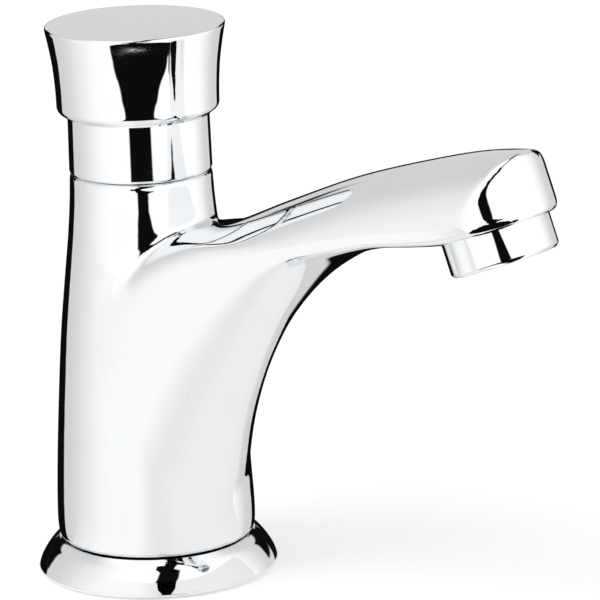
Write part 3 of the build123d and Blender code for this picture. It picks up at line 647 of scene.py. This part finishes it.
def product(tree, *values):
    """The product of numbers and sockets."""
    result = values[0]
    for value in values[1:]:
        result = math_node(tree, "MULTIPLY", result, value)
    return result


# A Mix node has sockets of one name for each kind of data. These are the places of the colours'.
mix_factor, mix_first, mix_second, mix_result = 0, 6, 7, 2


def blend(tree, factor, first, second):
    """A mix of two colours, each a socket."""
    node = tree.nodes.new("ShaderNodeMix")
    node.data_type = "RGBA"
    link(tree, factor, node.inputs[mix_factor])
    link(tree, first, node.inputs[mix_first])
    link(tree, second, node.inputs[mix_second])
    return node.outputs[mix_result]


def surface_group(name, build):
    """A group that turns a colour and a mark colour into colour, roughness and height."""
    group, start, end = new_group(
        name,
        (("Colour", "NodeSocketColor", (0.8, 0.8, 0.8, 1)),
         ("Mark Colour", "NodeSocketColor", (0.7, 0.7, 0.7, 1)),
         ("Scale", "NodeSocketFloat", 100.0),
         ("Roughness", "NodeSocketFloat", 0.3),
         ("Variation", "NodeSocketFloat", 0.1)),
        (("Colour", "NodeSocketColor"), ("Roughness", "NodeSocketFloat"),
         ("Height", "NodeSocketFloat")))
    coordinates = group.nodes.new("ShaderNodeTexCoord").outputs["Object"]
    mask, height = build(group, coordinates, start.outputs["Scale"])
    link(group, blend(group, mask, start.outputs["Colour"], start.outputs["Mark Colour"]),
         end.inputs["Colour"])
    spread = product(group, mask, start.outputs["Variation"])
    link(group, math_node(group, "ADD", spread, start.outputs["Roughness"]),
         end.inputs["Roughness"])
    link(group, height, end.inputs["Height"])
    return group


def haze_marks(group, coordinates, scale):
    """Faint cloudy haze left by polishing, with a finer mist in it."""
    cloud_low, cloud_high, mist_fineness = 0.45, 0.75, 14.0
    cloud = between(group, noise(group, coordinates, scale, detail=3.0), cloud_low, cloud_high)
    mist = noise(group, coordinates, product(group, scale, mist_fineness), detail=2.0)
    return product(group, cloud, mist), mist


def turned_marks(group, coordinates, scale):
    """Fine rings left by the turning tool, broken up by a cloud."""
    cloud_low, cloud_high, cloud_fineness = 0.3, 0.7, 0.08
    wave = group.nodes.new("ShaderNodeTexWave")
    wave.wave_type = "BANDS"
    wave.bands_direction = "Z"
    wave.inputs["Distortion"].default_value = 1.5
    wave.inputs["Detail"].default_value = 2.0
    wave.inputs["Detail Scale"].default_value = 0.6
    link(group, scale, wave.inputs["Scale"])
    link(group, coordinates, wave.inputs["Vector"])
    rings = wave.outputs["Fac"]
    cloud = noise(group, coordinates, product(group, scale, cloud_fineness), detail=3.0)
    return product(group, rings, between(group, cloud, cloud_low, cloud_high)), rings


def moulded_marks(group, coordinates, scale):
    """The fine even grain of a moulding with slow patches of sheen."""
    patch_low, patch_high, patch_fineness = 0.35, 0.75, 0.05
    grain = noise(group, coordinates, scale, detail=4.0)
    patches = noise(group, coordinates, product(group, scale, patch_fineness), detail=2.0)
    return between(group, patches, patch_low, patch_high), grain


# Finishes: slot, material, surface, colour, shade of its marks, their scale, roughness, how much
# rougher the marks are, metallic, bump.
finish_rows = (
    ("chrome", "chrome_plate", "haze", "chrome", 0.97, 60.0, 0.02, 0.05, 1.0, 0.05),
    ("brass", "machined_brass", "turned", "brass", 0.78, 1600.0, 0.22, 0.18, 1.0, 0.35),
    ("stainless", "turned_steel", "turned", "steel", 0.8, 2200.0, 0.2, 0.15, 1.0, 0.3),
    ("zinc_steel", "zinc_plate", "haze", "zinc", 0.72, 150.0, 0.32, 0.25, 1.0, 0.3),
    ("black_rubber", "moulded_rubber", "moulded", "rubber", 1.9, 2500.0, 0.55, 0.2, 0.0, 0.5),
    ("white_acetal", "white_moulding", "moulded", "white_moulding", 0.93, 1800.0, 0.35, 0.15,
     0.0, 0.25),
    ("grey_acetal", "grey_moulding", "moulded", "grey_moulding", 0.88, 1800.0, 0.38, 0.15,
     0.0, 0.25),
)
bump_distance = 0.02 * mm


def finish(name, slot_name, group, colour, shade, scale, roughness, variation, metallic, bump):
    """A finish for one slot: a Principled shader fed by one of the surface groups."""
    material, shader = principled(name, slot_name, metallic, roughness, colour)
    tree = material.node_tree
    node = tree.nodes.new("ShaderNodeGroup")
    node.node_tree = group
    node.inputs["Colour"].default_value = (*colour, 1)
    node.inputs["Mark Colour"].default_value = (*(channel * shade for channel in colour), 1)
    node.inputs["Scale"].default_value = scale
    node.inputs["Roughness"].default_value = roughness
    node.inputs["Variation"].default_value = variation
    link(tree, node.outputs["Colour"], shader.inputs["Base Color"])
    link(tree, node.outputs["Roughness"], shader.inputs["Roughness"])
    relief = tree.nodes.new("ShaderNodeBump")
    relief.inputs["Strength"].default_value = bump
    relief.inputs["Distance"].default_value = bump_distance
    link(tree, node.outputs["Height"], relief.inputs["Height"])
    link(tree, relief.outputs["Normal"], shader.inputs["Normal"])
    return material


def make_finishes(colours):
    """The material of each slot in the record."""
    surfaces = {
        "haze": surface_group("polish_haze", haze_marks),
        "turned": surface_group("turned_lines", turned_marks),
        "moulded": surface_group("moulded_grain", moulded_marks),
    }
    finishes = {}
    for slot_name, name, surface, colour_name, *settings in finish_rows:
        colour = tuple(getattr(colours, colour_name))
        finishes[slot_name] = finish(name, slot_name, surfaces[surface], colour, *settings)
    return finishes


def dress(piece, material):
    """Gives a piece one material."""
    piece.data.materials.clear()
    piece.data.materials.append(material)


def dress_new(piece, material, body, *replaced):
    """Dresses a new piece, which moves with a body and stands for nodes of the frame."""
    dress(piece, material)
    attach(piece, body)
    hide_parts(*replaced)


class StudioSettings(bpy.types.PropertyGroup):
    """Where the camera stands, and what the plate reflects."""

    azimuth: FloatProperty(
        name="Azimuth", description="The camera's bearing, from the -Y side towards +X",
        default=radians(39), subtype="ANGLE")
    elevation: FloatProperty(
        name="Elevation", description="The camera's height above the horizon",
        default=radians(14.91), subtype="ANGLE")
    roll: FloatProperty(
        name="Roll", description="The camera's roll",
        default=radians(-2.61), subtype="ANGLE")
    distance: FloatProperty(
        name="Distance", description="From the camera to the middle of the column",
        default=1.033, unit="LENGTH")
    target_height: FloatProperty(
        name="Target height", description="Height of the point on the axis that is aimed at",
        default=63 * mm, unit="LENGTH")
    focal_pixels: FloatProperty(
        name="Focal length", description="Focal length in pixels of the 600 pixel frame",
        default=4579.0)
    target_across: FloatProperty(
        name="Target across", description="Where the target shows in the frame, in pixels",
        default=146.8)
    target_down: FloatProperty(
        name="Target down", description="Where the target shows in the frame, in pixels",
        default=296.6)
    level: FloatProperty(
        name="Level", description="Brightness of the surroundings on matt surfaces",
        default=0.8)


frame_pixels = 600
sensor_width = 36.0
floor_radius = 8.0
floor_segments = 96
floor_glow = 0.22
lamp_size, lamp_power = 1.2, 9.0
lamp_place = (-0.5, -1.0, 1.7)
# The white card before the column. Bearings are in degrees, from the camera's side to the right.
card_radius = 97 * mm
card_height = 71 * mm
card_start, card_end = -85, 90
card_steps = 70
# Steps of the card's glow: from one bearing to the next, then the rise between them.
card_levels = (
    (-180, -170, 0.78), (-110, -45, 0.31), (-22, 0, -0.17), (4, 22, 0.05), (60, 110, -0.08),
)
# Rows of the dark tag before the foot ring: millimetres outside the ring's edge, height in
# millimetres, and the bearings of its left and right edge.
tag_rows = ((1.0, 1.4, 1.1, 5.1), (0.6, 2.7, -1.2, 7.4), (-0.8, 4.35, -1.5, 8.4))
# The surroundings that the plate reflects, with heights in degrees above the horizon. In front
# they have a dark opening: the bearing that it leans to, its soft edge, and where it ends.
opening_lean, opening_blur = 9, 1.2
opening_foot, opening_top = (-76, -70), (78, 82)
# Its steps: from one height to the next, then how much wider it is below them, and how much
# further to the right.
opening_steps = (
    (-62, -36, 34.0, 0.0), (-36, -12.4, 28.6, 7.0), (-10.4, -9.4, 9.0, 0.0),
    (-6, -2, -6.0, -3.0), (1, 7, 5.0, 13.0), (20, 55, -5.0, -24.0), (56, 62, 0.0, 6.0),
    (78, 80, 14.5, 0.0),
)
# The dark behind, which the outlines reflect: its inner edges, their lower ends and their top.
left_edge, left_foot = (-137, -135), (-34, -28)
right_edge, right_foot = (147, 149), (-43, -37)
behind_top = (2, 6)
# Higher up on both sides: what the ends of the foot ring reflect.
end_bearings = (133, 136), (161, 165)
end_heights = (0, 3), (20, 23)
# Overhead, as shares of a direction: the gap between two lamps.
strip_middle, strip_edge, strip_foot = 0.13, (0.06, 0.075), (0.55, 0.65)
# The panels: where the light of the left one changes, and its level on both sides of that, then
# where the right one changes it and by how much. Overhead the roof's own level takes over.
left_panel, left_light = (-130, -45), (0.72, 1.16)
right_panel, right_light = (90, 135), (0.0, -0.44)
roof_panel, roof_light = (50, 68), 1.16
darkest = 0.004


def make_camera(studio):
    """A camera at the photograph's angle, aimed so that the target shows off centre."""
    flat = Vector((sin(studio.azimuth), -cos(studio.azimuth), 0))
    back = flat * cos(studio.elevation) + Vector((0, 0, sin(studio.elevation)))
    forward = -back
    level_right = forward.cross(Vector((0, 0, 1))).normalized()
    level_up = level_right.cross(forward)
    right = cos(studio.roll) * level_right + sin(studio.roll) * level_up
    up = cos(studio.roll) * level_up - sin(studio.roll) * level_right
    across = frame_pixels / 2 - studio.target_across
    down = frame_pixels / 2 - studio.target_down
    axis = (forward * studio.focal_pixels + right * across - up * down).normalized()
    right = (right - axis * right.dot(axis)).normalized()
    up = right.cross(axis)
    camera = bpy.data.cameras.new("studio_camera")
    camera.lens = studio.focal_pixels / frame_pixels * sensor_width
    camera.sensor_width = sensor_width
    camera.clip_start, camera.clip_end = 0.05, 20
    holder = bpy.data.objects.new("studio_camera", camera)
    turn = Matrix((right, up, -axis)).transposed().to_4x4()
    target = Vector((0, 0, studio.target_height))
    holder.matrix_world = Matrix.Translation(target + back * studio.distance) @ turn
    bpy.context.scene.collection.objects.link(holder)
    bpy.context.scene.camera = holder


def ramp(tree, angle, edges, start=0.0, end=1.0, course="SMOOTHSTEP"):
    """A step of an angle between two edges in degrees."""
    return between(tree, angle, radians(edges[0]), radians(edges[1]), start, end, course)


def window(tree, angle, rise, fall):
    """One between the rise and the fall of an angle, and nothing outside them."""
    return product(tree, ramp(tree, angle, rise), ramp(tree, angle, fall, 1.0, 0.0))


def make_world(studio):
    """White surroundings. What the plate reflects has dark openings in front and behind."""
    world = bpy.data.worlds.new("studio_world")
    world.use_nodes = True
    bpy.context.scene.world = world
    tree = world.node_tree
    background = tree.nodes["Background"]
    background.inputs["Color"].default_value = (1, 1, 1, 1)
    coordinates = tree.nodes.new("ShaderNodeTexCoord").outputs["Generated"]

    def along(direction):
        node = tree.nodes.new("ShaderNodeVectorMath")
        node.operation = "DOT_PRODUCT"
        link(tree, coordinates, node.inputs[0])
        node.inputs[1].default_value = direction
        return node.outputs["Value"]

    towards = along((sin(studio.azimuth), -cos(studio.azimuth), 0))
    rightwards = along((cos(studio.azimuth), sin(studio.azimuth), 0))
    upwards = along((0, 0, 1))
    bearing = math_node(tree, "ARCTAN2", rightwards, towards)
    height = math_node(tree, "ARCSINE", upwards)
    half = 0.0
    lean = radians(opening_lean)
    for low, high, wider, further in opening_steps:
        half = math_node(tree, "ADD", half, ramp(
            tree, height, (low, high), radians(wider), 0.0, "LINEAR"))
        lean = math_node(tree, "ADD", lean, ramp(
            tree, height, (low, high), radians(further), 0.0, "LINEAR"))
    offset = math_node(tree, "ABSOLUTE", math_node(tree, "SUBTRACT", bearing, lean))
    inside = math_node(tree, "SUBTRACT", half, offset)
    front = product(
        tree, ramp(tree, inside, (-opening_blur, opening_blur)),
        window(tree, height, opening_foot, opening_top))
    left = product(
        tree, ramp(tree, bearing, left_edge, 1.0, 0.0),
        window(tree, height, left_foot, behind_top))
    right = product(
        tree, ramp(tree, bearing, right_edge), window(tree, height, right_foot, behind_top))
    ends = product(
        tree, window(tree, math_node(tree, "ABSOLUTE", bearing), *end_bearings),
        window(tree, height, *end_heights))
    aside = math_node(tree, "ABSOLUTE", math_node(tree, "SUBTRACT", rightwards, strip_middle))
    overhead = product(
        tree, between(tree, aside, *strip_edge, 1.0, 0.0), between(tree, upwards, *strip_foot))
    dark = front
    for zone in (left, right, ends, overhead):
        dark = math_node(tree, "MAXIMUM", dark, zone)
    sides = math_node(
        tree, "ADD", ramp(tree, bearing, left_panel, *left_light),
        ramp(tree, bearing, right_panel, *right_light))
    roof = ramp(tree, height, roof_panel)
    panels = math_node(
        tree, "ADD", sides, product(tree, roof, math_node(tree, "SUBTRACT", roof_light, sides)))
    shine = product(tree, panels, math_node(tree, "SUBTRACT", 1.0, dark))
    shine = math_node(tree, "MAXIMUM", shine, darkest)
    path = tree.nodes.new("ShaderNodeLightPath")
    straight = path.outputs["Is Camera Ray"]
    glossy = path.outputs["Is Glossy Ray"]
    lit = math_node(tree, "MAXIMUM", straight, product(tree, glossy, shine))
    other = math_node(tree, "SUBTRACT", 1.0, math_node(tree, "MAXIMUM", straight, glossy))
    level = math_node(tree, "ADD", lit, product(tree, other, studio.level))
    link(tree, level, background.inputs["Strength"])


def reflected_only(piece):
    """Leaves a stage piece to the reflections in the plate alone."""
    piece.visible_camera = False
    piece.visible_diffuse = False
    piece.visible_shadow = False
    piece.visible_transmission = False


def make_floor(colours):
    """The pale floor, which the plate does not reflect."""
    data = bmesh.new()
    bmesh.ops.create_circle(data, cap_ends=True, radius=floor_radius, segments=floor_segments)
    floor = to_object("studio_floor", data)
    material, shader = principled(
        "studio_floor", "", metallic=0.0, roughness=0.9, colour=tuple(colours.floor))
    shader.inputs["Specular IOR Level"].default_value = 0.0
    shader.inputs["Emission Color"].default_value = (1, 1, 1, 1)
    tree = material.node_tree
    path = tree.nodes.new("ShaderNodeLightPath")
    glow = product(tree, path.outputs["Is Camera Ray"], floor_glow)
    link(tree, glow, shader.inputs["Emission Strength"])
    dress(floor, material)
    floor.visible_glossy = False


def card_glow(studio):
    """The glow of the card and of the floor before it, by their bearing from the column."""
    material = bpy.data.materials.new("studio_card")
    material.use_nodes = True
    tree = material.node_tree
    tree.nodes.remove(tree.nodes["Principled BSDF"])
    glow = tree.nodes.new("ShaderNodeEmission")
    place = tree.nodes.new("ShaderNodeSeparateXYZ")
    link(tree, tree.nodes.new("ShaderNodeTexCoord").outputs["Object"], place.inputs[0])
    turn = math_node(tree, "ARCTAN2", place.outputs["X"], product(tree, place.outputs["Y"], -1.0))
    bearing = math_node(tree, "SUBTRACT", turn, studio.azimuth)
    level = 0.0
    for low, high, rise in card_levels:
        level = math_node(tree, "ADD", level, ramp(tree, bearing, (low, high), 0.0, rise))
    link(tree, level, glow.inputs["Strength"])
    link(tree, glow.outputs[0], tree.nodes["Material Output"].inputs["Surface"])
    return material


def around(studio, radius, bearing, height):
    """A place by its bearing from the camera's side, in degrees."""
    turn = studio.azimuth + radians(bearing)
    return (radius * sin(turn), -radius * cos(turn), height)


def make_card(studio):
    """A low white card before the column and the floor up to it, which its plate reflects."""
    material = card_glow(studio)
    data = bmesh.new()
    side = [data.verts.new(around(studio, card_radius, card_start, height))
            for height in (0, card_height)]
    edge = data.edges.new(side)
    bmesh.ops.spin(
        data, geom=side + [edge], cent=(0, 0, 0), axis=(0, 0, 1),
        angle=radians(card_end - card_start), steps=card_steps)
    card = to_object("studio_card", data)
    data = bmesh.new()
    bmesh.ops.create_circle(data, cap_ends=True, radius=card_radius, segments=floor_segments)
    bmesh.ops.bisect_plane(
        data, geom=data.verts[:] + data.edges[:] + data.faces[:], plane_co=(0, 0, 0),
        plane_no=around(studio, 1, 0, 0), clear_inner=True)
    near = to_object("studio_floor_near", data)
    for piece in (card, near):
        dress(piece, material)
        reflected_only(piece)


def make_tag(studio):
    """A small dark tag close before the foot ring, which reflects it over the card."""
    data = bmesh.new()
    rows = []
    for gap, height, *edges in tag_rows:
        radius = flange_high.x + gap * mm
        rows.append([data.verts.new(around(studio, radius, bearing, height * mm))
                     for bearing in edges])
    for low, high in zip(rows, rows[1:]):
        data.faces.new((*low, *reversed(high)))
    tag = to_object("studio_tag", data)
    material, shader = principled(
        "studio_tag", "", metallic=0.0, roughness=1.0, colour=(0, 0, 0))
    shader.inputs["Specular IOR Level"].default_value = 0.0
    dress(tag, material)
    reflected_only(tag)


def make_lamp():
    """One large soft lamp above, to the left of the camera."""
    lamp = bpy.data.lights.new("studio_lamp", "AREA")
    lamp.shape = "DISK"
    lamp.size = lamp_size
    lamp.energy = lamp_power
    holder = bpy.data.objects.new("studio_lamp", lamp)
    place = Vector(lamp_place)
    holder.location = place
    holder.rotation_mode = "QUATERNION"
    holder.rotation_quaternion = place.to_track_quat("Z", "Y")
    holder.visible_glossy = False
    bpy.context.scene.collection.objects.link(holder)


class TAP_OT_casting(bpy.types.Operator):
    """Makes the chrome casting that stands for the tap's body"""

    bl_idname = "tap.casting"
    bl_label = "Casting"

    def execute(self, context):
        piece = casting(context.scene.tap_sizes)
        dress_new(piece, bpy.data.materials["chrome_plate"], "tap", "tap_body")
        return {"FINISHED"}


# Turned pieces: how each is made, its finish, the body that it moves with, the node it stands for.
turned_pieces = (
    (foot_ring, "chrome_plate", "tap", "base_flange"),
    (collar_skin, "chrome_plate", "tap", "collar"),
    (button_skin, "chrome_plate", "plunger", "button_cap"),
    (aerator_skin, "chrome_plate", "tap", "aerator_housing"),
    (shank_skin, "machined_brass", "tap", "threaded_shank"),
)


class TAP_OT_turned(bpy.types.Operator):
    """Makes the turned pieces: foot ring, collar, button, aerator ring and shank"""

    bl_idname = "tap.turned"
    bl_label = "Turned pieces"

    def execute(self, context):
        for make, material, body, node in turned_pieces:
            piece = make(context.scene.tap_sizes)
            dress_new(piece, bpy.data.materials[material], body, node)
        return {"FINISHED"}


class TAP_OT_spring(bpy.types.Operator):
    """Makes the return spring"""

    bl_idname = "tap.spring"
    bl_label = "Return spring"

    def execute(self, context):
        coil = spring_coil()
        dress_new(coil, bpy.data.materials["turned_steel"], "tap", "return_spring")
        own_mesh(coil)
        return {"FINISHED"}


class TAP_OT_finishes(bpy.types.Operator):
    """Makes the finishes and dresses the pieces of the frame in them"""

    bl_idname = "tap.finishes"
    bl_label = "Finishes"

    def execute(self, context):
        finishes = make_finishes(context.scene.tap_colours)
        for part in frame["record"]["subparts"]:
            dress(nodes[part["node"]], finishes[part["material_slot"]])
        return {"FINISHED"}


class TAP_OT_stage(bpy.types.Operator):
    """Makes the camera, the surroundings, the floor, the card, the tag and the lamp"""

    bl_idname = "tap.stage"
    bl_label = "Stage"

    def execute(self, context):
        studio = context.scene.tap_studio
        make_camera(studio)
        make_world(studio)
        make_floor(context.scene.tap_colours)
        make_card(studio)
        make_tag(studio)
        make_lamp()
        context.scene.view_settings.view_transform = "Standard"
        return {"FINISHED"}


class TAP_PT_panel(bpy.types.Panel):
    """The tap's panel in the sidebar"""

    bl_idname = "TAP_PT_panel"
    bl_label = "Push timed tap"
    bl_space_type = "VIEW_3D"
    bl_region_type = "UI"
    bl_category = "Tap"

    def draw(self, context):
        scene = context.scene
        for group in (scene.tap_sizes, scene.tap_colours, scene.tap_studio):
            box = self.layout.box()
            for name in group.__annotations__:
                box.prop(group, name)
        for operator in steps:
            self.layout.operator(operator.bl_idname)


steps = (TAP_OT_finishes, TAP_OT_stage, TAP_OT_casting, TAP_OT_turned, TAP_OT_spring)
classes = (TapSizes, TapColours, StudioSettings, *steps, TAP_PT_panel)


def register():
    """Adds the add-on's classes and its settings on the scene."""
    for item in classes:
        bpy.utils.register_class(item)
    bpy.types.Scene.tap_sizes = PointerProperty(type=TapSizes)
    bpy.types.Scene.tap_colours = PointerProperty(type=TapColours)
    bpy.types.Scene.tap_studio = PointerProperty(type=StudioSettings)


def unregister():
    """Removes what register added."""
    del bpy.types.Scene.tap_studio
    del bpy.types.Scene.tap_colours
    del bpy.types.Scene.tap_sizes
    for item in reversed(classes):
        bpy.utils.unregister_class(item)


def main():
    """Makes the whole model."""
    register()
    bpy.ops.tap.finishes()
    bpy.ops.tap.stage()
    bpy.ops.tap.casting()
    bpy.ops.tap.turned()
    bpy.ops.tap.spring()


if __name__ == "__main__":
    main()
